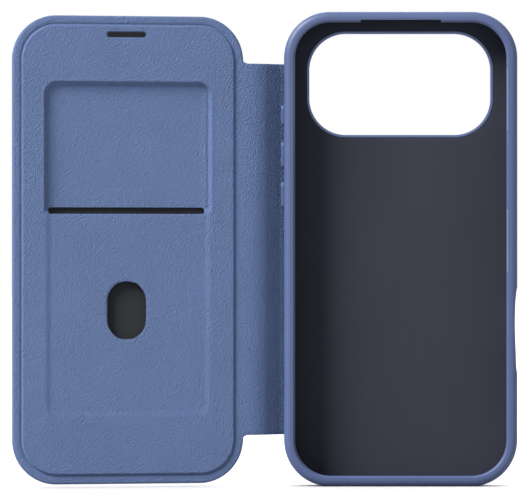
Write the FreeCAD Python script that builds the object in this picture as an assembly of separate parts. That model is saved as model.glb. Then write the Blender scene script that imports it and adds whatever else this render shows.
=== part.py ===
"""Folio phone wallet case, open and standing on its foot, in millimetres.

The case is drawn with the shell's middle at X = 0 and the case's foot at Z = 0.
The shell's open front looks along -Y. Every solid is moved to the row frame when it is saved.
"""
import FreeCAD, Part
import math
import os

os.makedirs("parts", exist_ok=True)
Vector = FreeCAD.Vector
UP = Vector(0, 0, 1)

# Row frame: shift from the drawing to the middle of the open case's footprint
PLACE = Vector(47.83, 4.58, 0)

# Shell outside
SHELL_W = 82.6
SHELL_H = 168.0
SHELL_R = 16.3
SHELL_FRONT = -6.3
SHELL_BACK = 6.3
SHELL_EDGE_R = 2.3
SHELL_MID_Z = SHELL_H / 2

# Phone bay
BAY_W = 78.4
BAY_H = 163.8
BAY_R = 14.2
BAY_FRONT = -4.8
BAY_BACK = 4.1
WALL_IN = BAY_W / 2
WALL_OUT = SHELL_W / 2

# Front and rear openings of the bumper
LIP_W = 74.8
LIP_H = 160.5
LIP_R = 12.5
LIP_BEVEL = 0.7
REAR_W = 72.4
REAR_H = 157.8
REAR_R = 11.2
NOTCH_W = 28.4
NOTCH_DEEP = 0.9

# Back layers, from the bay outward
LINING_T = 0.3
PLATE_BACK = 5.3
LEATHER_BACK = 6.4
EASE = 0.1

# Camera window
WINDOW_W = 64.5
WINDOW_H = 36.0
WINDOW_R = 13.0
WINDOW_Z = 142.6
GUARD_WALL = 0.8
GUARD_FLANGE = 1.9
GUARD_BACK = 7.4

# Keys: middle height, length, how far they stand out, side (-1 left, 1 right)
KEYS = {
    "action_button": (131.3, 7.7, 1.0, -1),
    "volume_up_button": (117.3, 9.7, 1.0, -1),
    "volume_down_button": (103.1, 9.6, 1.0, -1),
    "power_button": (113.3, 17.0, 0.1, 1),
}
KEY_W = 3.4
KEY_GAP = 0.15
KEY_RIM = 0.45
KEY_RIM_IN = 39.6
KEY_RIM_OUT = 40.25
KEY_TRAVEL_ROOM = 0.2
KEY_ROUND = 0.45

# Openings in the rails
SCOOP = [(41.6, 39.2), (41.15, 40.6), (40.75, 45.0), (40.45, 52.0), (40.35, 60.0), (40.6, 66.0),
         (41.1, 70.0), (41.6, 71.6)]
SLOT_Z = 58.5
SLOT_L = 21.0
SLOT_W = 5.2
PORT_L = 13.0
PORT_W = 6.2
SPEAKER_X = 16.0
SPEAKER_L = 10.0
SPEAKER_W = 2.0

# Magnets under the lip of the free rail
MAGNET_X = (37.6, 39.6)
MAGNET_Y = (-5.8, -4.85)
MAGNET_Z = ((76.0, 98.0), (126.0, 148.0))

# Spine
SPINE_LOW = 18.0
SPINE_HIGH = 149.8
SPINE_HALF_T = 1.0
SPINE_L = 10.98
FOLD_A = Vector(-43.7, 2.18, 0)
TILT = 10.5
STIFFENER_HALF_T = 0.2
STIFFENER_X = (-9.5, -4.9)
FOLD_B = Vector(FOLD_A.x - SPINE_L * math.cos(math.radians(TILT)),
                FOLD_A.y - SPINE_L * math.sin(math.radians(TILT)), 0)

# Leather tab that carries the spine round the shell's back edge: X, Y outline
TAB = [(-36.0, 5.32), (-36.0, 6.4), (-42.4, 6.4), (-43.3, 5.9),
       (-42.7, 3.5), (-42.1, 3.5), (-41.75, 5.32)]

# Cover, drawn flat with fold B at X = 0, Y = 0 and its inner face towards -Y
COVER_W = 82.3
COVER_H = 165.1
COVER_R = 15.6
COVER_X = -42.65
COVER_Z = 83.7
POCKET_X = -43.4
COVER_OUT = 1.4
LEATHER_IN = 0.7
FLANGE_FACE = -1.6
GROOVE_FACE = -1.2
PAD_FACE = -2.2
PAD_UNDER = -1.5
BACKING_FACE = -0.3
BOARD_FACE = 0.0
GROOVE_OUT = (77.7, 160.5, 13.3)
PAD_FOOT = (75.9, 158.7, 12.4)
PAD_TOP = (74.7, 157.5, 11.8)
CAVITY = (73.9, 156.7, 11.4)

# Sunk pocket area in the cover's pad
RECESS_W = 60.2
RECESS_LOW = 24.4
RECESS_HIGH = 143.0
RECESS_R = 4.0
RECESS_BORDER = 2.0
UPPER_FACE = -0.6
UPPER_TAPER = 1.4
LOWER_FACE = -1.8
LOWER_TAPER = 1.0
LOWER_BACK = -1.4
POCKET_W = 56.5
POCKET_LOW = 24.9
SLIT_W = 55.8
SLIT_LOW = 96.4
SLIT_HIGH = 98.7
THUMB_W = 13.9
THUMB_H = 20.5
THUMB_Z = 62.4

# Earpiece opening through the cover
EAR_W = 13.9
EAR_H = 1.9
EAR_Z = 159.6
EAR_WALL = 0.6
MESH_Y = (-1.2, -0.9)
MESH_PITCH = 0.74
MESH_HOLE_R = 0.24
MESH_COLUMNS = 17

# Steel strip by the cover's free edge
STRIP_X = (-79.3, -77.3)
STRIP_Z = (60.0, 150.0)


def rounded_wire(width, height, radius, y, mid_x, mid_z):
    """Closed rounded rectangle in a plane of constant Y."""
    left = mid_x - width / 2
    right = mid_x + width / 2
    low = mid_z - height / 2
    high = mid_z + height / 2
    bow = radius * (1 - math.sqrt(0.5))

    def at(x, z):
        return Vector(x, y, z)

    edges = []
    for side_x, in_x in ((left, 1), (right, -1)):
        for end_z, in_z in ((low, 1), (high, -1)):
            on_side = at(side_x, end_z + in_z * radius)
            middle = at(side_x + in_x * bow, end_z + in_z * bow)
            on_end = at(side_x + in_x * radius, end_z)
            edges.append(Part.Arc(on_side, middle, on_end).toShape())
    if width - 2 * radius > 1e-4:
        edges.append(Part.makeLine(at(left + radius, low), at(right - radius, low)))
        edges.append(Part.makeLine(at(right - radius, high), at(left + radius, high)))
    if height - 2 * radius > 1e-4:
        edges.append(Part.makeLine(at(right, low + radius), at(right, high - radius)))
        edges.append(Part.makeLine(at(left, high - radius), at(left, low + radius)))
    return Part.Wire(Part.__sortEdges__(edges))


def plate(width, height, radius, y0, y1, mid_x, mid_z):
    """Rounded plate between two Y levels."""
    outline = rounded_wire(width, height, radius, y0, mid_x, mid_z)
    return Part.Face(outline).extrude(Vector(0, y1 - y0, 0))


def taper(size0, size1, y0, y1, mid_x, mid_z):
    """Rounded plate that changes size from y0 to y1."""
    wires = [rounded_wire(*size0, y0, mid_x, mid_z), rounded_wire(*size1, y1, mid_x, mid_z)]
    return Part.makeLoft(wires, True, True)


def block(x_span, y_span, z_span):
    """Box between two corners."""
    size = [span[1] - span[0] for span in (x_span, y_span, z_span)]
    return Part.makeBox(*size, Vector(x_span[0], y_span[0], z_span[0]))


def prism(points, low, high):
    """Upright prism over an X, Y outline."""
    corners = [Vector(x, y, low) for x, y in points]
    return Part.Face(Part.makePolygon(corners + corners[:1])).extrude(Vector(0, 0, high - low))


def slot_along_x(length, width, x0, x1, mid_z):
    """Round-ended bar along X, long in Z and centred on Y = 0."""
    bar = plate(width, length, width / 2 - 0.001, 0, x1 - x0, 0, 0)
    bar.rotate(Vector(), UP, -90)
    bar.translate(Vector(x0, 0, mid_z))
    return bar


def slot_along_z(length, width, radius, mid_x, low, high):
    """Rounded bar along Z, long in X and centred on Y = 0."""
    bar = plate(length, width, radius, 0, high - low, 0, 0)
    bar.rotate(Vector(), Vector(1, 0, 0), 90)
    bar.translate(Vector(mid_x, 0, low))
    return bar


def round_rim(shape, y, radius):
    """Round every edge that lies in the plane at y."""
    rim = [edge for edge in shape.Edges
           if abs(edge.BoundBox.YMin - y) < 1e-4 and abs(edge.BoundBox.YMax - y) < 1e-4]
    return shape.makeFillet(radius, rim)


def shell_plate(size, y0, y1):
    """Plate centred on the shell."""
    return plate(*size, y0, y1, 0, SHELL_MID_Z)


def cover_plate(size, y0, y1):
    """Plate centred on the flat cover."""
    return plate(*size, y0, y1, COVER_X, COVER_Z)


def window(grow, y0, y1):
    """Camera window grown by the same amount all round."""
    size = (WINDOW_W + 2 * grow, WINDOW_H + 2 * grow, WINDOW_R + grow)
    return plate(*size, y0, y1, 0, WINDOW_Z)


def mirror_side(shape, side):
    """Turn a shape drawn on the +X side to the side asked for."""
    if side > 0:
        return shape
    return shape.mirror(Vector(), Vector(1, 0, 0))


def save(name, shape):
    """Move a shape to the row frame and write it."""
    placed = shape.copy()
    placed.translate(PLACE)
    placed.exportStep("parts/" + name + ".step")
    print(name, len(placed.Solids), "solid(s), valid", placed.isValid())


def make_bumper():
    """Moulded bumper: rails, front lip and rear flange in one piece."""
    body = shell_plate((SHELL_W, SHELL_H, SHELL_R), SHELL_FRONT, SHELL_BACK)
    body = round_rim(body, SHELL_FRONT, SHELL_EDGE_R)
    body = round_rim(body, SHELL_BACK, SHELL_EDGE_R)
    body = body.cut(shell_plate((BAY_W, BAY_H, BAY_R), BAY_FRONT, PLATE_BACK))
    body = body.cut(shell_plate((LIP_W, LIP_H, LIP_R), SHELL_FRONT - 1, BAY_FRONT + 0.1))
    wide = (LIP_W + 2 * LIP_BEVEL, LIP_H + 2 * LIP_BEVEL, LIP_R + LIP_BEVEL)
    narrow = (LIP_W, LIP_H, LIP_R)
    body = body.cut(taper(wide, narrow, SHELL_FRONT, SHELL_FRONT + 0.9, 0, SHELL_MID_Z))
    body = body.cut(shell_plate((REAR_W, REAR_H, REAR_R), PLATE_BACK - 0.1, SHELL_BACK + 1))
    lip_top = SHELL_MID_Z + LIP_H / 2
    notch = block((-NOTCH_W / 2, NOTCH_W / 2), (SHELL_FRONT - 1, BAY_FRONT + 0.1),
                  (lip_top - 3, lip_top + NOTCH_DEEP))
    body = body.cut(notch)
    body = body.cut(block((-WALL_OUT - 1, -REAR_W / 2 + 0.1), (PLATE_BACK, SHELL_BACK + 1),
                          (SPINE_LOW - EASE, SPINE_HIGH + EASE)))
    for mid_z, length, _, side in KEYS.values():
        hole = slot_along_x(length + 2 * KEY_GAP, KEY_W + 2 * KEY_GAP,
                            WALL_IN - 1, WALL_OUT + 1, mid_z)
        room = KEY_RIM + KEY_GAP
        seat = slot_along_x(length + 2 * room, KEY_W + 2 * room,
                            WALL_IN - 1, KEY_RIM_OUT + KEY_TRAVEL_ROOM, mid_z)
        body = body.cut(mirror_side(hole.fuse(seat), side))
    scoop_points = [Vector(x, SHELL_FRONT - 1, z) for x, z in SCOOP]
    curve = Part.BSplineCurve()
    curve.interpolate(scoop_points)
    back_side = Part.makePolygon([scoop_points[-1], Vector(44, SHELL_FRONT - 1, SCOOP[-1][1]),
                                  Vector(44, SHELL_FRONT - 1, SCOOP[0][1]), scoop_points[0]])
    scoop_face = Part.Face(Part.Wire([curve.toShape()] + back_side.Edges))
    scoop = scoop_face.extrude(Vector(0, SHELL_BACK * 2 + 2, 0))
    body = body.cut(scoop)
    body = body.cut(slot_along_x(SLOT_L, SLOT_W, WALL_IN - 1, WALL_OUT + 1, SLOT_Z))
    body = body.cut(slot_along_z(PORT_L, PORT_W, 2.0, 0, -1, 3))
    for mid_x in (-SPEAKER_X, SPEAKER_X):
        body = body.cut(slot_along_z(SPEAKER_L, SPEAKER_W, SPEAKER_W / 2 - 0.001, mid_x, -1, 3))
    for span in MAGNET_Z:
        body = body.cut(block(MAGNET_X, (MAGNET_Y[0], BAY_FRONT + 0.1), span))
    return body


def make_key(mid_z, length, proud, side):
    """Key cap with a wider rim that keeps it in the rail."""
    cap = slot_along_x(length, KEY_W, KEY_RIM_IN, WALL_OUT + proud, mid_z)
    outer = [edge for edge in cap.Edges if edge.BoundBox.XMin > WALL_OUT + proud - 1e-4]
    cap = cap.makeFillet(KEY_ROUND, outer)
    rim = slot_along_x(length + 2 * KEY_RIM, KEY_W + 2 * KEY_RIM, KEY_RIM_IN, KEY_RIM_OUT, mid_z)
    return mirror_side(cap.fuse(rim).removeSplitter(), side)


def make_spine_blank():
    """Spine outline with round ends on both folds, flat and with fold A at X = 0."""
    bar = block((-SPINE_L, 0), (-SPINE_HALF_T, SPINE_HALF_T), (SPINE_LOW, SPINE_HIGH))
    height = SPINE_HIGH - SPINE_LOW
    for x in (0, -SPINE_L):
        bar = bar.fuse(Part.makeCylinder(SPINE_HALF_T, height, Vector(x, 0, SPINE_LOW), UP))
    return bar.removeSplitter()


def fold_spine(shape):
    """Turn the flat spine to its open position."""
    turned = shape.copy()
    turned.rotate(Vector(), UP, TILT)
    turned.translate(FOLD_A)
    return turned


def fold_cover(shape):
    """Turn the flat cover to its open position."""
    turned = shape.copy()
    turned.rotate(Vector(), UP, TILT)
    turned.translate(FOLD_B)
    return turned


def earpiece_bar(grow, y0, y1):
    """Round-ended bar through the cover at the earpiece."""
    height = EAR_H + 2 * grow
    return plate(EAR_W + 2 * grow, height, height / 2 - 0.001, y0, y1, POCKET_X, EAR_Z)


def make_cover_lining():
    """Inner leather: flange, pressed groove, raised pad, sunk pocket area and slit."""
    flange = cover_plate((COVER_W, COVER_H, COVER_R), FLANGE_FACE, LEATHER_IN)
    flange = round_rim(flange, FLANGE_FACE, 0.6)
    flange = flange.cut(cover_plate(GROOVE_OUT, FLANGE_FACE - 1, GROOVE_FACE))
    pad = taper(PAD_TOP, PAD_FOOT, PAD_FACE, GROOVE_FACE + 0.05, COVER_X, COVER_Z)
    body = flange.fuse(pad).cut(cover_plate(CAVITY, PAD_UNDER, LEATHER_IN + 1))
    recess_h = RECESS_HIGH - RECESS_LOW
    recess_z = (RECESS_HIGH + RECESS_LOW) / 2
    grown = 2 * RECESS_BORDER
    body = body.fuse(plate(RECESS_W + grown, recess_h + grown, RECESS_R + RECESS_BORDER,
                           PAD_UNDER - 0.2, BACKING_FACE, POCKET_X, recess_z))
    lower = taper((RECESS_W, recess_h, RECESS_R),
                  (RECESS_W - 2 * LOWER_TAPER, recess_h - 2 * LOWER_TAPER, RECESS_R - LOWER_TAPER),
                  PAD_FACE, LOWER_FACE, POCKET_X, recess_z)
    upper = taper((RECESS_W, recess_h, RECESS_R),
                  (RECESS_W - 2 * UPPER_TAPER, recess_h - 2 * UPPER_TAPER, RECESS_R - UPPER_TAPER),
                  PAD_FACE, UPPER_FACE, POCKET_X, recess_z)
    above_slit = block((POCKET_X - RECESS_W, POCKET_X + RECESS_W),
                       (PAD_FACE - 1, 1), (SLIT_LOW, RECESS_HIGH + 1))
    body = body.cut(lower).cut(upper.common(above_slit))
    pocket_span = (POCKET_X - POCKET_W / 2, POCKET_X + POCKET_W / 2)
    body = body.cut(block(pocket_span, (LOWER_BACK, 0), (POCKET_LOW, SLIT_LOW)))
    slit_span = (POCKET_X - SLIT_W / 2, POCKET_X + SLIT_W / 2)
    body = body.cut(block(slit_span, (PAD_FACE, 0), (SLIT_LOW, SLIT_HIGH)))
    thumb_hole = plate(THUMB_W, THUMB_H, THUMB_W / 2 - 0.001,
                       PAD_FACE, LOWER_BACK + 0.1, POCKET_X, THUMB_Z)
    body = body.cut(thumb_hole)
    return body.cut(earpiece_bar(0, PAD_FACE - 1, PAD_UNDER + 0.1)).removeSplitter()


def make_mesh():
    """Perforated strip behind the earpiece opening."""
    body = earpiece_bar(-0.03, *MESH_Y)
    first = POCKET_X - MESH_PITCH * (MESH_COLUMNS - 1) / 2
    for column in range(MESH_COLUMNS):
        for row in (-0.5, 0.5):
            spot = Vector(first + column * MESH_PITCH, MESH_Y[0] - 1, EAR_Z + row * MESH_PITCH)
            body = body.cut(Part.makeCylinder(MESH_HOLE_R, 3, spot, Vector(0, 1, 0)))
    return body


def save_shell():
    """Everything that stays with the shell."""
    save("bumper_frame", make_bumper())
    hole = window(GUARD_WALL + EASE, 0, 9)
    back_size = (BAY_W - 2 * EASE, BAY_H - 2 * EASE, BAY_R - EASE)
    back = shell_plate(back_size, BAY_BACK + LINING_T, PLATE_BACK - 0.02)
    save("back_plate", back.cut(hole))
    lining = shell_plate((BAY_W - 0.6, BAY_H - 0.6, BAY_R - 0.3), BAY_BACK, BAY_BACK + LINING_T)
    save("bay_lining", lining.cut(hole))
    rear_size = (REAR_W - 2 * EASE, REAR_H - 2 * EASE, REAR_R - EASE)
    leather = shell_plate(rear_size, PLATE_BACK, LEATHER_BACK)
    leather = leather.fuse(prism(TAB, SPINE_LOW, SPINE_HIGH)).removeSplitter()
    save("back_leather", leather.cut(window(GUARD_FLANGE + EASE, 0, 9)))
    sleeve = window(GUARD_WALL, BAY_BACK, PLATE_BACK + 0.1)
    flange = window(GUARD_FLANGE, PLATE_BACK, GUARD_BACK)
    flange = round_rim(flange, GUARD_BACK, 0.6)
    save("camera_guard", sleeve.fuse(flange).cut(window(0, 0, 9)).removeSplitter())
    magnets = [block((MAGNET_X[0] + 0.03, MAGNET_X[1] - 0.03), MAGNET_Y, (low + 0.03, high - 0.03))
               for low, high in MAGNET_Z]
    save("closure_magnets", Part.makeCompound(magnets))
    for name, numbers in KEYS.items():
        save(name, make_key(*numbers))


def save_spine():
    """Two leather layers with a stiffener between them."""
    blank = make_spine_blank()
    pocket = block(STIFFENER_X, (-STIFFENER_HALF_T, STIFFENER_HALF_T),
                   (SPINE_LOW + 3, SPINE_HIGH - 3))
    front = block((-SPINE_L - 2, 2), (-2, 0), (0, SHELL_H))
    save("spine_leather", fold_spine(blank.cut(front).cut(pocket)))
    save("spine_lining", fold_spine(blank.common(front).cut(pocket)))
    save("spine_stiffener", fold_spine(pocket))


def save_cover():
    """Layers of the front cover, outside to inside."""
    ear = earpiece_bar(EAR_WALL + 0.05, -2, 3)
    leather = cover_plate((COVER_W, COVER_H, COVER_R), LEATHER_IN, COVER_OUT)
    leather = round_rim(leather, COVER_OUT, 0.5)
    save("cover_leather", fold_cover(leather.cut(ear)))
    inner = (CAVITY[0] - 0.2, CAVITY[1] - 0.2, CAVITY[2] - 0.1)
    board = cover_plate(inner, BOARD_FACE, LEATHER_IN - 0.02)
    save("cover_board", fold_cover(board.cut(ear)))
    backing = cover_plate(inner, BACKING_FACE, BOARD_FACE - 0.02)
    save("pocket_backing", fold_cover(backing.cut(ear)))
    recess_h = RECESS_HIGH - RECESS_LOW + 2 * RECESS_BORDER + 0.2
    recess_w = RECESS_W + 2 * RECESS_BORDER + 0.2
    hole = plate(recess_w, recess_h, RECESS_R + RECESS_BORDER + 0.1, -3, 1,
                 POCKET_X, (RECESS_HIGH + RECESS_LOW) / 2)
    strip_room = block((STRIP_X[0] - 2, STRIP_X[1] + 0.1), (-3, 1),
                       (STRIP_Z[0] - 0.1, STRIP_Z[1] + 0.1))
    spacer = cover_plate(inner, PAD_UNDER + 0.02, BACKING_FACE - 0.02)
    save("pocket_frame_board", fold_cover(spacer.cut(hole).cut(strip_room).cut(ear)))
    save("closure_strip", fold_cover(block(STRIP_X, (PAD_UNDER + 0.1, BACKING_FACE - 0.1), STRIP_Z)))
    save("cover_lining", fold_cover(make_cover_lining()))
    sleeve = earpiece_bar(EAR_WALL, PAD_UNDER + 0.02, COVER_OUT).cut(earpiece_bar(0, -3, 3))
    save("earpiece_sleeve", fold_cover(sleeve))
    save("earpiece_mesh", fold_cover(make_mesh()))


save_shell()
save_spine()
save_cover()
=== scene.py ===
"""Folio phone wallet case: soft leather pieces, finishes, floor, light and camera.

Lengths are in mm until a mesh is made.
"""
import math

import bmesh
import bpy
import numpy as np
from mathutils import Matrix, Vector


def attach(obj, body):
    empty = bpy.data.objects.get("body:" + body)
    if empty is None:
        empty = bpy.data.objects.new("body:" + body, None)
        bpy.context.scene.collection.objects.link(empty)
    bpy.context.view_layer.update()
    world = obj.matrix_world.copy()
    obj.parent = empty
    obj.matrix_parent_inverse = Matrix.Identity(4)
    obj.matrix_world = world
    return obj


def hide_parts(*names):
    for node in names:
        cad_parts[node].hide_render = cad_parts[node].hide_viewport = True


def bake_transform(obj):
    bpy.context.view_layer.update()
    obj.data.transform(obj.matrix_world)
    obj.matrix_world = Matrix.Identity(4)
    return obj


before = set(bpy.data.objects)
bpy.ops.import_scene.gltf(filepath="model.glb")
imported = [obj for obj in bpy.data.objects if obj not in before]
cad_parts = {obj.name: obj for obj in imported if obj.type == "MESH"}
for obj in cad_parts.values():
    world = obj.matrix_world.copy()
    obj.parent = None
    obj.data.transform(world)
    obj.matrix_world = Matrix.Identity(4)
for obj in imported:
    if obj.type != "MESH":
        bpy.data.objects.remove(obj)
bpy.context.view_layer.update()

# Places shared with the CAD, in mm
PLACE = np.array([47.83, 4.58, 0.0])
TILT = math.radians(10.5)
SPINE_L = 10.98
FOLD_A = np.array([-43.7, 2.18])
ALONG = np.array([math.cos(TILT), math.sin(TILT)])
FOLD_B = FOLD_A - SPINE_L * ALONG
SPINE_LOW, SPINE_HIGH = 18.0, 149.8
COVER_W, COVER_H, COVER_R = 82.3, 165.1, 15.6
COVER_X, COVER_Z = -42.65, 83.7
POCKET_X = -43.4
SHIFT = POCKET_X - COVER_X
FLANGE, GROOVE, PAD = -1.6, -1.40, -2.12
RECESS_W, RECESS_LOW, RECESS_HIGH, RECESS_R = 60.2, 24.4, 143.0, 4.0
SLIT_HALF, SLIT_LOW, SLIT_HIGH = 27.9, 96.4, 98.7
THUMB_W, THUMB_H, THUMB_Z = 13.9, 20.5, 62.4
EAR_W, EAR_H, EAR_Z = 13.9, 1.9, 159.6
EAR_HOLE = 0.65
SHELL_MID_Z = 84.0
WINDOW_Z = 142.6

# Where the cover's inner face changes level, as distances in from its edge
GROOVE_START, GROOVE_WALL, PAD_START = 2.35, 3.0, 3.8
# Points along the spine's curves, and the one where its two strips meet
SPINE_STEPS = 84
SPINE_CUT = 36
# Camera: distance from the case's middle plane and the width that its picture spans there, in metres
VIEW_DISTANCE = 1.5
VIEW_SPAN = 0.18815
SENSOR = 36.0


# ---------- camera ----------
def add_camera():
    data = bpy.data.cameras.new("camera")
    camera = bpy.data.objects.new("camera", data)
    bpy.context.scene.collection.objects.link(camera)
    data.sensor_fit = "HORIZONTAL"
    data.sensor_width = SENSOR
    data.lens = SENSOR * VIEW_DISTANCE / VIEW_SPAN
    data.clip_end = 50.0
    camera.location = (-0.00021, 0.00458 - VIEW_DISTANCE, 0.08348)
    camera.rotation_euler = (math.pi / 2, 0, 0)
    bpy.context.scene.camera = camera


# ---------- materials ----------
class Nodes:
    """Short way to build one material's nodes."""

    def __init__(self, name):
        self.material = bpy.data.materials.new(name)
        self.material.use_nodes = True
        self.tree = self.material.node_tree
        self.shader = self.tree.nodes["Principled BSDF"]
        self.coords = self.tree.nodes.new("ShaderNodeTexCoord").outputs["Object"]

    def link(self, output, node, socket):
        self.tree.links.new(output, node.inputs[socket])

    def mapping(self, scale=(1, 1, 1), turn=(0, 0, 0), kind="POINT"):
        node = self.tree.nodes.new("ShaderNodeMapping")
        node.vector_type = kind
        node.inputs["Scale"].default_value = scale
        node.inputs["Rotation"].default_value = turn
        self.link(self.coords, node, "Vector")
        return node.outputs["Vector"]

    def noise(self, scale, detail=3.0, rough=0.5, vector=None):
        node = self.tree.nodes.new("ShaderNodeTexNoise")
        node.inputs["Scale"].default_value = scale
        node.inputs["Detail"].default_value = detail
        node.inputs["Roughness"].default_value = rough
        self.link(vector or self.coords, node, "Vector")
        return node.outputs["Fac"]

    def cells(self, scale, feature="DISTANCE_TO_EDGE", vector=None):
        node = self.tree.nodes.new("ShaderNodeTexVoronoi")
        node.feature = feature
        node.inputs["Scale"].default_value = scale
        self.link(vector or self.coords, node, "Vector")
        return node.outputs["Distance"]

    def ramp(self, value, low, high, out_low, out_high):
        node = self.tree.nodes.new("ShaderNodeMapRange")
        node.inputs["From Min"].default_value = low
        node.inputs["From Max"].default_value = high
        node.inputs["To Min"].default_value = out_low
        node.inputs["To Max"].default_value = out_high
        self.link(value, node, "Value")
        return node.outputs["Result"]

    def combine(self, operation, first, second):
        node = self.tree.nodes.new("ShaderNodeMath")
        node.operation = operation
        for socket, value in enumerate((first, second)):
            if isinstance(value, (int, float)):
                node.inputs[socket].default_value = value
            else:
                self.tree.links.new(value, node.inputs[socket])
        return node.outputs[0]

    def tint(self, value, dark, light):
        node = self.tree.nodes.new("ShaderNodeMix")
        node.data_type = "RGBA"
        node.inputs["A"].default_value = (*dark, 1)
        node.inputs["B"].default_value = (*light, 1)
        self.link(value, node, "Factor")
        self.tree.links.new(node.outputs["Result"], self.shader.inputs["Base Color"])

    def bump(self, height, strength, distance, after=None):
        node = self.tree.nodes.new("ShaderNodeBump")
        node.inputs["Strength"].default_value = strength
        node.inputs["Distance"].default_value = distance
        self.link(height, node, "Height")
        if after is not None:
            self.link(after, node, "Normal")
        self.tree.links.new(node.outputs["Normal"], self.shader.inputs["Normal"])
        return node.outputs["Normal"]

    def put(self, **values):
        for name, value in values.items():
            self.shader.inputs[name.replace("_", " ")].default_value = value


def shade(colour, factor):
    return tuple(c * factor for c in colour)


def leather(name, colour, grain=1.0):
    """Fine pebbled grain that runs a little on the diagonal."""
    n = Nodes(name)
    slanted = n.mapping((1.0, 1.0, 2.2), (0, math.radians(42), 0), "TEXTURE")
    pebbles = n.cells(1900, vector=slanted)
    creases = n.noise(2400, 2.0, 0.5, slanted)
    fine = n.noise(2600, 4.0, 0.6)
    broad = n.noise(60, 3.0, 0.5)
    bumps = n.combine("MULTIPLY", n.ramp(pebbles, 0.0, 0.35, 0.0, 1.0), 0.3)
    wrinkles = n.combine("ADD", n.combine("MULTIPLY", creases, 1.5), n.combine("MULTIPLY", fine, 0.5))
    height = n.combine("ADD", bumps, wrinkles)
    n.bump(height, min(0.9 * grain, 1.0), 0.00045)
    # Colour: darker along the pebble edges, where the bump puts the grain's valleys, which is painted shade
    # in the grain's hollows, plus a broad random tone of the leather itself
    valley_shade_and_tone = n.combine("ADD", n.combine("MULTIPLY", n.ramp(pebbles, 0.0, 0.25, 0.0, 1.0), 0.45),
                        n.combine("MULTIPLY", broad, 0.55))
    n.tint(n.ramp(valley_shade_and_tone, 0.2, 0.8, 0.0, 1.0), shade(colour, 0.88), shade(colour, 1.12))
    n.tree.links.new(n.ramp(fine, 0.3, 0.7, 0.52, 0.64), n.shader.inputs["Roughness"])
    n.put(Specular_IOR_Level=0.28, Sheen_Weight=0.05, Sheen_Roughness=0.5)
    return n.material


def moulded(name, colour, rough=0.5):
    """Satin moulded rubber with a faint flow texture."""
    n = Nodes(name)
    speckle = n.noise(3000, 3.0, 0.5)
    broad = n.noise(45, 3.0, 0.5)
    n.bump(speckle, 0.1, 0.00004)
    n.tint(n.ramp(broad, 0.3, 0.7, 0.0, 1.0), shade(colour, 0.96), shade(colour, 1.04))
    n.tree.links.new(n.ramp(n.noise(400, 4.0, 0.6), 0.3, 0.7, rough - 0.04, rough + 0.06),
                     n.shader.inputs["Roughness"])
    n.put(Specular_IOR_Level=0.28)
    return n.material


def napped(name, colour):
    """Short-pile microfibre."""
    n = Nodes(name)
    pile = n.noise(5200, 4.0, 0.7)
    brushed = n.noise(26, 4.0, 0.6, n.mapping((1.0, 1.0, 0.35), (0, math.radians(20), 0)))
    n.bump(pile, 0.6, 0.00012)
    n.tint(n.ramp(n.combine("ADD", n.combine("MULTIPLY", pile, 0.5), n.combine("MULTIPLY", brushed, 0.5)),
                  0.3, 0.7, 0.0, 1.0), shade(colour, 0.7), shade(colour, 1.35))
    n.put(Roughness=0.95, Sheen_Weight=0.4, Sheen_Roughness=0.45, Specular_IOR_Level=0.15)
    return n.material


def metal(name, colour, rough, metallic=1.0):
    n = Nodes(name)
    lines = n.noise(900, 3.0, 0.5, n.mapping((0.12, 1.0, 1.0)))
    n.bump(lines, 0.08, 0.00003)
    n.tint(n.noise(150, 3.0, 0.5), shade(colour, 0.88), shade(colour, 1.12))
    n.tree.links.new(n.ramp(lines, 0.3, 0.7, rough - 0.05, rough + 0.08), n.shader.inputs["Roughness"])
    n.put(Metallic=metallic)
    return n.material


def board(name, colour):
    n = Nodes(name)
    fibres = n.noise(700, 5.0, 0.7, n.mapping((1.0, 1.0, 0.3)))
    n.bump(fibres, 0.3, 0.00008)
    n.tint(fibres, shade(colour, 0.85), shade(colour, 1.15))
    n.put(Roughness=0.9)
    return n.material


BLUE = (0.0358, 0.0632, 0.1420)
BUMPER_BLUE = (0.0305, 0.0450, 0.1010)
LEATHER = leather("leather_blue", BLUE)
LEATHER_FOLD = leather("leather_blue_fold", BLUE, 1.5)
BUMPER = moulded("bumper_blue", BUMPER_BLUE)
KEYS = moulded("key_blue", shade(BUMPER_BLUE, 1.02), 0.46)
NAP = napped("microfibre_dark", (0.0070, 0.0088, 0.0150))
POCKET = napped("pocket_cloth_dark", (0.0060, 0.0068, 0.0095))
GUARD = metal("guard_blue", (0.055, 0.080, 0.165), 0.4, 0.5)
STEEL = metal("steel", (0.55, 0.55, 0.57), 0.3)
MESH_METAL = metal("mesh_dark", (0.02, 0.02, 0.022), 0.4, 0.8)
BLACK = moulded("black_plastic", (0.008, 0.008, 0.010), 0.5)
BOARD = board("grey_board", (0.35, 0.33, 0.30))


def dress(node, material):
    """Give a CAD node its finish."""
    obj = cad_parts[node]
    for spot in obj.material_slots:
        spot.material = material
    if not obj.material_slots:
        obj.data.materials.append(material)


# ---------- mesh helpers ----------
def smooth(value, low, high):
    t = np.clip((value - low) / (high - low), 0, 1)
    return t * t * (3 - 2 * t)


def rounded(x, z, width, height, radius, mid_z):
    """Distance outside a rounded rectangle, negative inside."""
    qx = np.abs(x) - width / 2 + radius
    qz = np.abs(z - mid_z) - height / 2 + radius
    return np.hypot(np.maximum(qx, 0), np.maximum(qz, 0)) + np.minimum(np.maximum(qx, qz), 0) - radius


def graded(low, high, spots, base):
    """Grid lines from low to high: fine near each spot (start, end, step), coarse elsewhere."""
    def step_at(s):
        step = base
        for start, end, fine in spots:
            gap = max(start - s, s - end, 0)
            step = min(step, fine + 0.35 * gap)
        return step

    lines = [low]
    while lines[-1] < high:
        here = lines[-1]
        step = step_at(here)
        step = min(step, step_at(here + step))
        lines.append(here + max(step, 0.08))
    lines = np.array(lines)
    return low + (lines - low) * (high - low) / (lines[-1] - low)


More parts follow.
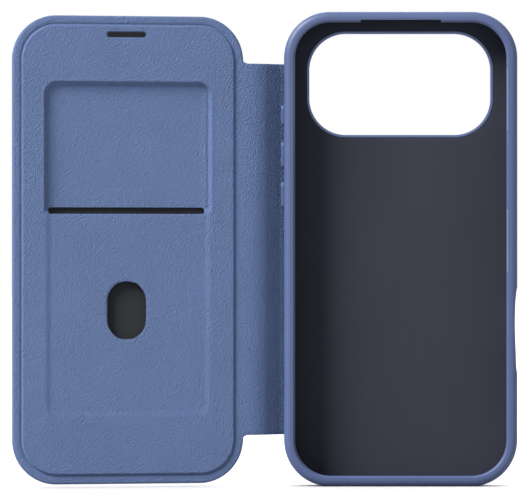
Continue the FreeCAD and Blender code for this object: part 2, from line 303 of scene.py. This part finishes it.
def snap(x, z, distance, reach):
    """Move grid points that are near a contour onto it."""
    e = 0.01
    d = distance(x, z)
    gx = (distance(x + e, z) - distance(x - e, z)) / (2 * e)
    gz = (distance(x, z + e) - distance(x, z - e)) / (2 * e)
    near = np.abs(d) < reach
    return np.where(near, x - d * gx, x), np.where(near, z - d * gz, z)


def add_mesh(name, points, faces, material):
    """Object from points in mm in the drawing frame."""
    mesh = bpy.data.meshes.new(name)
    placed = (np.asarray(points, float) + PLACE) / 1000
    mesh.from_pydata(placed.tolist(), [], [list(map(int, f)) for f in faces])
    mesh.validate()
    mesh.update()
    obj = bpy.data.objects.new(name, mesh)
    bpy.context.scene.collection.objects.link(obj)
    mesh.materials.append(material)
    mesh.polygons.foreach_set("use_smooth", [True] * len(mesh.polygons))
    return obj


def thicken(obj, thickness):
    """Give a surface its real thickness, as a closed shell."""
    modifier = obj.modifiers.new("thickness", "SOLIDIFY")
    modifier.thickness = thickness / 1000
    modifier.offset = -1.0
    modifier.use_even_offset = False
    bpy.context.view_layer.objects.active = obj
    with bpy.context.temp_override(object=obj, active_object=obj, selected_objects=[obj]):
        bpy.ops.object.modifier_apply(modifier=modifier.name)
    b = bmesh.new()
    b.from_mesh(obj.data)
    for e in b.edges:
        e.smooth = e.calc_face_angle(0) < 0.75
    b.to_mesh(obj.data)
    b.free()


def cover_to_world(x, y, z):
    """Flat cover coordinates to the open cover's place."""
    wx = FOLD_B[0] + x * ALONG[0] - y * ALONG[1]
    wy = FOLD_B[1] + x * ALONG[1] + y * ALONG[0]
    return np.stack([wx, wy, z], -1)


def sheet_faces(rows, columns, keep):
    """Quads of a grid, without those whose four corners aren't kept."""
    i, j = np.meshgrid(np.arange(rows - 1), np.arange(columns - 1), indexing="ij")
    a = i * columns + j
    quads = np.stack([a, a + 1, a + columns + 1, a + columns], -1).reshape(-1, 4)
    return quads[keep[quads].all(1)]


def compact(points, faces):
    """Drop the points that no face uses."""
    used = np.unique(faces)
    where = np.full(len(points), -1)
    where[used] = np.arange(len(used))
    return points[used], where[faces]


# ---------- cover ----------
def outline(x, z):
    return rounded(x, z, COVER_W, COVER_H, COVER_R, COVER_Z)


def inner_outline(x, z):
    """Where the flat part of the pad takes over from the edge rings."""
    return outline(x, z) + 4.5


def recess(x, z):
    mid_z = (RECESS_HIGH + RECESS_LOW) / 2
    return rounded(x - SHIFT - 0.5, z, RECESS_W - 0.6, RECESS_HIGH - RECESS_LOW, RECESS_R + 0.6, mid_z)


def thumb(x, z):
    x = x - SHIFT
    return rounded(x, z, THUMB_W, THUMB_H, THUMB_W / 2, THUMB_Z)


def earpiece(x, z):
    x = x - SHIFT
    return rounded(x, z, EAR_W, EAR_H, EAR_H / 2, EAR_Z)


def slit(x, z):
    return rounded(x - SHIFT, z, 2 * SLIT_HALF, SLIT_HIGH - SLIT_LOW, 1.1, (SLIT_HIGH + SLIT_LOW) / 2)


def edge_level(inside):
    """Level of the cover's inner face at a distance in from its edge: flange, groove, pad."""
    y = FLANGE + (GROOVE - FLANGE) * smooth(inside, GROOVE_START, GROOVE_WALL)
    y = y + (PAD - GROOVE) * smooth(inside, GROOVE_WALL, PAD_START)
    return y - 0.08 * smooth(inside, 3.85, 14.0)


def lining_depth(x, z):
    """Height of the lining's face, towards the viewer, from the cover's middle plane."""
    y = edge_level(-outline(x, z))
    deep = -recess(x, z)
    upper = smooth(z, SLIT_LOW + 0.05, SLIT_HIGH - 0.05)
    across = np.clip((x - SHIFT) / SLIT_HALF, -1, 1)
    bow = 0.10 * smooth(z, 60, SLIT_LOW) * (1 - across ** 2)
    low_floor = -1.86 - bow + 0.12 * (1 - smooth(thumb(x, z), 0.0, 0.7))
    low_floor = low_floor + 0.14 * (1 - smooth(SLIT_LOW - z, 0.0, 0.6))
    low_wall = smooth(deep, 0.2, 2.6)
    high_wall = 0.84 * smooth(deep, -0.15, 0.95) + 0.16 * smooth(deep, 1.3, 4.0)
    high_floor = -0.82 - 0.04 * smooth(z, SLIT_HIGH, 140)
    low_y = y + (low_floor - y) * low_wall
    high_y = y + (high_floor - y) * high_wall + 0.10 * np.exp(-((deep - 1.15) / 0.3) ** 2)
    high_y = high_y - 0.05 * np.exp(-((deep + 0.5) / 0.4) ** 2)
    y = low_y + (high_y - low_y) * upper
    return y + 0.30 * (1 - smooth(earpiece(x, z), 0.0, 0.35))


def make_cover_lining():
    """Inner leather: a grid for the pad with its openings, and rings for its edge."""
    half = COVER_W / 2 - 4.2
    wall = RECESS_W / 2
    xs = graded(-half, half, [(-half, -half + 11, 0.34), (half - 11, half, 0.34),
                              (SHIFT - wall - 0.8, SHIFT - wall + 2.6, 0.17),
                              (SHIFT + wall - 2.6, SHIFT + wall + 0.8, 0.17),
                              (SHIFT - 7.4, SHIFT - 5.6, 0.2), (SHIFT + 5.6, SHIFT + 7.4, 0.2)], 1.2)
    low, high = COVER_Z - COVER_H / 2 + 4.2, COVER_Z + COVER_H / 2 - 4.2
    zs = graded(low, high, [(low, low + 11, 0.34), (high - 11, high, 0.34),
                            (RECESS_LOW - 0.4, RECESS_LOW + 3, 0.25),
                            (RECESS_HIGH - 2.6, RECESS_HIGH + 0.8, 0.17),
                            (SLIT_LOW - 1.4, SLIT_HIGH + 0.6, 0.16),
                            (THUMB_Z + 3, THUMB_Z + 10.8, 0.25), (THUMB_Z - 10.8, THUMB_Z - 3, 0.25),
                            (EAR_Z - 1.4, EAR_Z + 1.4, 0.14)], 1.2)
    x, z = np.meshgrid(xs, zs)
    for contour, reach in ((slit, 0.13), (thumb, 0.17), (earpiece, 0.09)):
        x, z = snap(x, z, contour, reach)
    rows, columns = x.shape
    x, z = x.ravel(), z.ravel()
    keep = inner_outline(x, z) < 0
    for opening in (slit, thumb, earpiece):
        keep = keep & (opening(x, z) > -0.02)
    points = cover_to_world(x + COVER_X, lining_depth(x, z), z)
    points, faces = compact(points, sheet_faces(rows, columns, keep))
    inward = [2.8, 2.94, 3.0, 3.08, 3.18, 3.29, 3.4, 3.51, 3.62, 3.74, 3.85, 4.0, 4.2, 4.45, 4.65, 5.25]
    sunk = [0.1, 0.02] + [0] * 12 + [0.015, 0.03]
    rings = [(-inside, float(edge_level(inside)) + extra) for inside, extra in zip(inward, sunk)]
    edge_points, edge_faces, _ = make_rim(rings)
    faces = [tuple(f) for f in faces] + [tuple(k + len(points) for k in f) for f in edge_faces]
    return add_mesh("cover_inner_leather", np.concatenate([points, edge_points]), faces, LEATHER)


def ring_faces(rings, count):
    """Quads between closed rings of points."""
    faces = []
    for ring in range(rings - 1):
        for k in range(count):
            a = ring * count + k
            b = ring * count + (k + 1) % count
            faces.append((a, b, b + count, a + count))
    return faces


def make_rim(depth_profile):
    """Edge band round the cover: rings of (offset outward, level)."""
    count = 520
    t = np.linspace(0, 2 * math.pi, count, endpoint=False)
    straight_x, straight_z = COVER_W / 2 - COVER_R, COVER_H / 2 - COVER_R
    corner = math.pi / 2 * COVER_R
    lengths = [2 * straight_z, corner, 2 * straight_x, corner] * 2
    total = sum(lengths)
    s = t / (2 * math.pi) * total
    spots, normals = [], []
    for value in s:
        for leg, length in enumerate(lengths):
            if value < length:
                break
            value -= length
        f = value / length
        if leg == 0:
            spot, normal = (COVER_W / 2, -straight_z + f * 2 * straight_z), (1, 0)
        elif leg == 2:
            spot, normal = (straight_x - f * 2 * straight_x, COVER_H / 2), (0, 1)
        elif leg == 4:
            spot, normal = (-COVER_W / 2, straight_z - f * 2 * straight_z), (-1, 0)
        elif leg == 6:
            spot, normal = (-straight_x + f * 2 * straight_x, -COVER_H / 2), (0, -1)
        else:
            angle = (leg // 2) * math.pi / 2 + f * math.pi / 2
            cx = straight_x if leg in (1, 7) else -straight_x
            cz = straight_z if leg in (1, 3) else -straight_z
            normal = (math.cos(angle), math.sin(angle))
            spot = (cx + COVER_R * normal[0], cz + COVER_R * normal[1])
        spots.append(spot)
        normals.append(normal)
    spots, normals = np.array(spots), np.array(normals)
    points = []
    for offset, level in depth_profile:
        ring = spots + normals * offset
        points.append(cover_to_world(ring[:, 0] + COVER_X, np.full(count, level), ring[:, 1] + COVER_Z))
    return np.concatenate(points), ring_faces(len(depth_profile), count), count


def make_ear_hole(depth_profile):
    """Edge of the earpiece hole in the outer leather: rings of (offset, level)."""
    count = 72
    t = np.linspace(0, 2 * math.pi, count, endpoint=False) + math.pi / count
    half = (EAR_W - EAR_H) / 2
    points = []
    for offset, level in depth_profile:
        reach = EAR_H / 2 + EAR_HOLE + offset
        x = half * np.sign(np.cos(t)) + reach * np.cos(t) + SHIFT + COVER_X
        points.append(cover_to_world(x, np.full(count, level), EAR_Z + reach * np.sin(t)))
    return np.concatenate(points), ring_faces(len(depth_profile), count), count


def make_cover_outer():
    """Outer leather: back face, rounded edge, up to the seam with the lining."""
    turned_in = [(3.12, 0.1), (3.02, 0.01)]
    turned_in += [(inside, 0) for inside in (2.95, 2.86, 2.76, 2.65, 2.53, 2.38, 1.6, 0.8)]
    profile = [(-inside, float(edge_level(inside)) + extra) for inside, extra in turned_in]
    profile += [(-0.5, -1.57), (-0.25, -1.45), (-0.06, -1.22), (0.03, -0.95), (0.06, -0.35), (0.06, 0.1),
                (0.04, 0.6), (-0.1, 1.0), (-0.45, 1.3), (-1.0, 1.4), (-3.0, 1.4), (-9.0, 1.42)]
    points, faces, count = make_rim(profile)
    first_hole = len(points)
    ear_edge = ((0.30, 1.42), (0.08, 1.38), (0, 1.28), (0, -0.1))
    hole_points, hole_faces, hole_count = make_ear_hole(ear_edge)
    points = np.concatenate([points, hole_points])
    faces = faces + [tuple(first_hole + k for k in face) for face in hole_faces]
    obj = add_mesh("cover_outer_leather", points, faces, LEATHER)
    b = bmesh.new()
    b.from_mesh(obj.data)
    b.verts.ensure_lookup_table()
    first = (len(profile) - 1) * count
    ring = [b.verts[first + k] for k in range(count)]
    edges = [b.edges.get((ring[k], ring[(k + 1) % count])) for k in range(count)]
    ring = [b.verts[first_hole + k] for k in range(hole_count)]
    edges += [b.edges.get((ring[k], ring[(k + 1) % hole_count])) for k in range(hole_count)]
    bmesh.ops.triangle_fill(b, use_beauty=True, edges=edges)
    bmesh.ops.recalc_face_normals(b, faces=b.faces)
    b.to_mesh(obj.data)
    b.free()
    obj.data.polygons.foreach_set("use_smooth", [True] * len(obj.data.polygons))
    return obj


def make_pocket_cloth():
    """Dark cloth behind the pocket, seen in the slit and the thumb hole."""
    xs = np.linspace(-31.5, 31.5, 40)
    zs = np.linspace(RECESS_LOW - 1.5, SLIT_HIGH + 3, 48)
    x, z = np.meshgrid(xs, zs)
    rows, columns = x.shape
    x, z = x.ravel(), z.ravel()
    x = x + SHIFT
    level = -0.12 - 0.05 * np.sin(x / 7) * np.cos(z / 11)
    points = cover_to_world(x + COVER_X, level, z)
    return add_mesh("pocket_cloth", points, sheet_faces(rows, columns, np.ones(len(x), bool)), POCKET)


def turn_to_viewer(obj, toward=(0, -1, 0)):
    """Make an open surface's normals face one way before it gets thickness."""
    total = Vector()
    for polygon in obj.data.polygons:
        total += polygon.normal * polygon.area
    if total.dot(Vector(toward)) < 0:
        obj.data.flip_normals()


# ---------- spine ----------
def curve_through(points, count):
    """Evenly spaced points on a smooth curve through the given ones."""
    p = np.array(points, float)
    ends = np.vstack([2 * p[0] - p[1], p, 2 * p[-1] - p[-2]])
    fine = []
    for k in range(1, len(ends) - 2):
        t = np.linspace(0, 1, 30, endpoint=False)[:, None]
        a, b, c, d = ends[k - 1], ends[k], ends[k + 1], ends[k + 2]
        square = 2 * a - 5 * b + 4 * c - d
        cube = 3 * b - a - 3 * c + d
        fine.append(0.5 * (2 * b + (c - a) * t + square * t ** 2 + cube * t ** 3))
    fine = np.vstack(fine + [p[-1:]])
    run = np.concatenate([[0], np.cumsum(np.linalg.norm(np.diff(fine, axis=0), axis=1))])
    s = np.linspace(0, run[-1], count)
    return np.stack([np.interp(s, run, fine[:, k]) for k in range(fine.shape[1])], -1)


def make_strip(name, face, back, ends, material):
    """Closed leather strip between two matching X, Y curves.

    ends gives the low and high Z at each place along them.
    """
    count = len(face)
    levels = 44
    f = (1 - np.cos(np.linspace(0, math.pi, levels))) / 2
    f = 0.35 * f + 0.65 * np.linspace(0, 1, levels)
    points = []
    for side in (face, back):
        for k in range(count):
            low, high = ends[k]
            z = low + (high - low) * f
            points.append(np.stack([np.full(levels, side[k, 0]), np.full(levels, side[k, 1]), z], -1))
    points = np.concatenate(points)
    faces = []
    half = count * levels
    for k in range(count - 1):
        for m in range(levels - 1):
            a = k * levels + m
            faces.append((a, a + levels, a + levels + 1, a + 1))
            faces.append((half + a, half + a + 1, half + a + levels + 1, half + a + levels))
        for m in (0, levels - 1):
            a = k * levels + m
            faces.append((a, half + a, half + a + levels, a + levels))
    for k in (0, count - 1):
        for m in range(levels - 1):
            a = k * levels + m
            faces.append((a, a + 1, half + a + 1, half + a))
    obj = add_mesh(name, points, faces, material)
    b = bmesh.new()
    b.from_mesh(obj.data)
    bmesh.ops.recalc_face_normals(b, faces=b.faces)
    b.verts.ensure_lookup_table()
    cap = {v.index for v in b.verts if (v.index % half) // levels in (0, count - 1)}
    rim = []
    for e in b.edges:
        if e.calc_face_angle(0) > 0.8:
            if all(v.index in cap for v in e.verts):
                e.smooth = False
            else:
                rim.append(e)
    bmesh.ops.bevel(b, geom=rim, offset=0.00022, segments=2, profile=0.6, affect="EDGES", clamp_overlap=True)
    b.to_mesh(obj.data)
    b.free()
    obj.data.polygons.foreach_set("use_smooth", [True] * len(obj.data.polygons))
    return obj


def cover_xy(x, y):
    """Flat cover place as X, Y in the drawing."""
    return cover_to_world(np.array(x, float), np.array(y, float), 0.0)[:2]


def spine_ends(x, y):
    """Top and bottom of the spine at a place, with the concave corner at the cover."""
    flat = (np.array([x, y]) - FOLD_B) @ ALONG
    radius = 2.4
    gap = flat + 2.0
    if gap <= 0:
        rise = radius
    elif gap < radius:
        rise = radius - math.sqrt(radius ** 2 - (radius - gap) ** 2)
    else:
        rise = 0.0
    return SPINE_LOW - rise, SPINE_HIGH + rise


def on_spine(points):
    """Places measured from the cover fold along the cover, as X, Y in the drawing."""
    return [cover_xy(*p) for p in points]


def spine_curves():
    """Face and back of the spine's leather, from the cover's groove to the shell's back."""
    face = on_spine([(-4.7, -1.36), (-3.9, -1.50), (-3.0, -1.615), (-1.6, -1.64), (-0.2, -1.62),
                     (1.6, -1.55), (3.4, -1.38), (5.0, -1.10), (6.6, -0.68), (8.2, -0.08),
                     (9.8, 0.52), (11.2, 1.0), (12.2, 1.33)])
    face = face + [(-41.9, 4.0), (-41.0, 4.4), (-40.1, 4.85), (-39.0, 5.2), (-37.6, 5.42), (-35.2, 5.5)]
    back = on_spine([(-6.5, 1.30), (-4.5, 1.44), (-2.6, 1.44), (-0.6, 1.32), (1.0, 1.12),
                     (3.0, 0.95), (5.0, 0.92), (6.6, 1.05)])
    back = back + [(-47.0, 2.85), (-45.6, 3.9), (-44.4, 4.8), (-43.3, 5.6),
                   (-42.3, 6.15), (-41.2, 6.42), (-39.0, 6.46), (-35.2, 6.42)]
    return curve_through(face, SPINE_STEPS), curve_through(back, SPINE_STEPS)


def make_cover_side():
    """Spine half that joins the cover."""
    face, back = spine_curves()
    face, back = face[:SPINE_CUT + 1], back[:SPINE_CUT + 1]
    return make_strip("spine_leather_cover_side", face, back, [spine_ends(*p) for p in face], LEATHER)


def make_shell_side():
    """Spine half that joins the shell, round its back edge."""
    face, back = spine_curves()
    face, back = face[SPINE_CUT:], back[SPINE_CUT:]
    ends = [(SPINE_LOW, SPINE_HIGH)] * len(face)
    return make_strip("spine_leather_shell_side", face, back, ends, LEATHER_FOLD)


# ---------- shell leather and lining ----------
def make_shell_sheet(name, size, hole, level, crown, material):
    """Rounded sheet on the shell with the camera window cut out.

    size and hole are width, height and corner radius. crown is how far its edges turn away.
    """
    width, height, radius = size
    half = width / 2
    low, high = SHELL_MID_Z - height / 2, SHELL_MID_Z + height / 2
    xs = graded(-half, half, [(-half, -half + 17, 0.5), (half - 17, half, 0.5)], 1.8)
    zs = graded(low, high, [(low, low + 12, 0.5), (124, high, 0.5)], 1.8)
    x, z = np.meshgrid(xs, zs)

    def edge(px, pz):
        return rounded(px, pz, width, height, radius, SHELL_MID_Z)

    def window(px, pz):
        return rounded(px, pz, *hole, WINDOW_Z)

    for contour in (edge, window):
        x, z = snap(x, z, contour, 0.32)
    rows, columns = x.shape
    x, z = x.ravel(), z.ravel()
    keep = (edge(x, z) < 0.02) & (window(x, z) > -0.02)
    inner = np.minimum(-edge(x, z), window(x, z))
    y = level + crown * (1 - smooth(inner, 0.0, 1.1))
    points = np.stack([x, y, z], -1)
    points, faces = compact(points, sheet_faces(rows, columns, keep))
    return add_mesh(name, points, faces, material)


# ---------- build ----------
def build_cover():
    lining = make_cover_lining()
    turn_to_viewer(lining)
    thicken(lining, 0.5)
    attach(lining, "cover")
    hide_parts("cover_lining")

    cloth = make_pocket_cloth()
    turn_to_viewer(cloth)
    thicken(cloth, 0.15)
    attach(cloth, "cover")
    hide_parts("pocket_backing")

    outer = make_cover_outer()
    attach(outer, "cover")
    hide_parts("cover_leather")


def build_spine():
    near = make_cover_side()
    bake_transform(near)
    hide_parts("spine_lining")
    far = make_shell_side()
    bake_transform(far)
    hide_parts("spine_leather")


def build_shell():
    lining = make_shell_sheet("bay_microfibre", (77.8, 163.2, 13.9), (66.3, 37.8, 13.9), 4.1, 0.12, NAP)
    turn_to_viewer(lining)
    thicken(lining, 0.25)
    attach(lining, "shell")
    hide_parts("bay_lining")

    leather_back = make_shell_sheet("back_leather_skin", (72.2, 157.6, 11.1), (68.5, 40.0, 15.0),
                                    6.4, -0.35, LEATHER)
    turn_to_viewer(leather_back, (0, 1, 0))
    thicken(leather_back, 0.7)
    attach(leather_back, "shell")
    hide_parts("back_leather")

    for node in ("action_button", "volume_up_button", "volume_down_button", "power_button"):
        dress(node, KEYS)
    dress("bumper_frame", BUMPER)
    dress("back_plate", BLACK)
    dress("camera_guard", GUARD)
    dress("closure_magnets", STEEL)
    dress("closure_strip", STEEL)
    dress("earpiece_mesh", MESH_METAL)
    dress("earpiece_sleeve", BLACK)
    for node in ("cover_board", "pocket_frame_board", "spine_stiffener"):
        dress(node, BOARD)


# ---------- studio ----------
def add_area(name, place, target, size, power):
    data = bpy.data.lights.new(name, "AREA")
    data.shape = "RECTANGLE"
    data.size, data.size_y = size
    data.energy = power
    light = bpy.data.objects.new(name, data)
    light.location = place
    light.rotation_euler = (Vector(target) - Vector(place)).to_track_quat("-Z", "Y").to_euler()
    bpy.context.scene.collection.objects.link(light)


def add_sun(name, strength, spread, direction):
    data = bpy.data.lights.new(name, "SUN")
    data.energy = strength
    data.angle = math.radians(spread)
    light = bpy.data.objects.new(name, data)
    light.rotation_euler = Vector(direction).to_track_quat("-Z", "Y").to_euler()
    bpy.context.scene.collection.objects.link(light)
    return light


def add_studio():
    scene = bpy.context.scene
    world = bpy.data.worlds.new("studio")
    world.use_nodes = True
    background = world.node_tree.nodes["Background"]
    background.inputs["Color"].default_value = (1, 1, 1, 1)
    background.inputs["Strength"].default_value = 1.0
    scene.world = world
    scene.view_settings.view_transform = "Standard"
    scene.view_settings.look = "None"
    floor_mesh = bpy.data.meshes.new("floor")
    reach = 6.0
    corners = [(-reach, -reach, 0), (reach, -reach, 0), (reach, reach, 0), (-reach, reach, 0)]
    floor_mesh.from_pydata(corners, [], [(0, 1, 2, 3)])
    floor = bpy.data.objects.new("floor", floor_mesh)
    scene.collection.objects.link(floor)
    n = Nodes("floor_white")
    n.tint(n.noise(3.0, 2.0, 0.5), (0.97, 0.97, 0.97), (0.99, 0.99, 0.99))
    n.put(Roughness=0.9, Specular_IOR_Level=0.0)
    floor_mesh.materials.append(n.material)
    add_area("fill", (0.9, -1.3, 0.7), (0, 0, 0.08), (1.0, 1.0), 3.0)
    add_area("back", (0.2, 1.2, 1.0), (0, 0, 0.08), (1.0, 0.8), 10.0)
    key = add_sun("key", 11.0, 22, (0.65, 0.40, -0.66))
    wash = add_sun("floor_wash", 1.2, 50, (0.05, 0.1, -1.0))
    # The wash lights only the floor, and the key lights everything else
    ground = bpy.data.collections.new("ground")
    ground.objects.link(floor)
    wash.light_linking.receiver_collection = ground
    not_ground = bpy.data.collections.new("not_ground")
    not_ground.objects.link(floor)
    key.light_linking.receiver_collection = not_ground
    not_ground.collection_objects[0].light_linking.link_state = "EXCLUDE"


add_camera()
build_cover()
build_spine()
build_shell()
add_studio()
